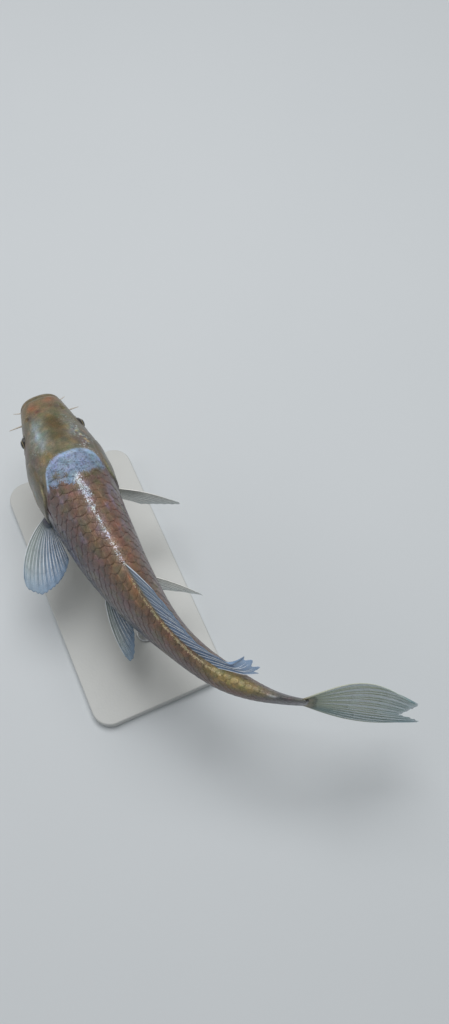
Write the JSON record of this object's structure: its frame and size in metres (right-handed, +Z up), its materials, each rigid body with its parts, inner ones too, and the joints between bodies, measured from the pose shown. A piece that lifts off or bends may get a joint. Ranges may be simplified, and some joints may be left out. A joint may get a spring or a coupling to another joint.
{
  "type": "koi carp",
  "caption": "Life-size koi carp model swimming in a bend, fins spread, held level over a flat display stand by two short rods.",
  "frame": {"origin": "centre of the underside of the stand's base, on the surface it stands on", "axes": "+X runs the length of the model from the snout's end to the tail's end, with the snout toward -X; +Z is up, toward the fish's back; +Y is the side the tail swings to, the fish's right"},
  "size_m": [0.3681, 0.2374, 0.1726],
  "materials": {
    "head_skin": "wet olive-gold skin",
    "gill_skin": "wet silver-olive skin over bone",
    "body_skin": "wet bronze-mauve scaled skin",
    "stalk_skin": "wet golden scaled skin",
    "eye": "wet dark eye with a thin pale ring",
    "feeler": "wet pale flesh",
    "fin": "thin clear membrane over pale rays",
    "tail_fin": "thin tan membrane over pale rays",
    "stand_paint": "satin grey paint",
    "stand_steel": "brushed"
  },
  "bodies": {
    "root": {"head": "head_skin", "gill_cover_left": "gill_skin", "gill_cover_right": "gill_skin", "eye_left": "eye", "eye_right": "eye", "trunk_front": "body_skin", "trunk_rear": "body_skin", "tail_stalk": "stalk_skin", "barbel_lip_left": "feeler", "barbel_lip_right": "feeler", "barbel_corner_left": "feeler", "barbel_corner_right": "feeler", "dorsal_fin": "fin", "anal_fin": "fin", "pectoral_fin_left": "fin", "pectoral_fin_right": "fin", "pelvic_fin_left": "fin", "pelvic_fin_right": "fin", "tail_fin_upper": "tail_fin", "tail_fin_lower": "tail_fin", "stand_base": "stand_paint", "stand_rod_front": "stand_steel", "stand_rod_rear": "stand_steel"}
  },
  "joints": []
}
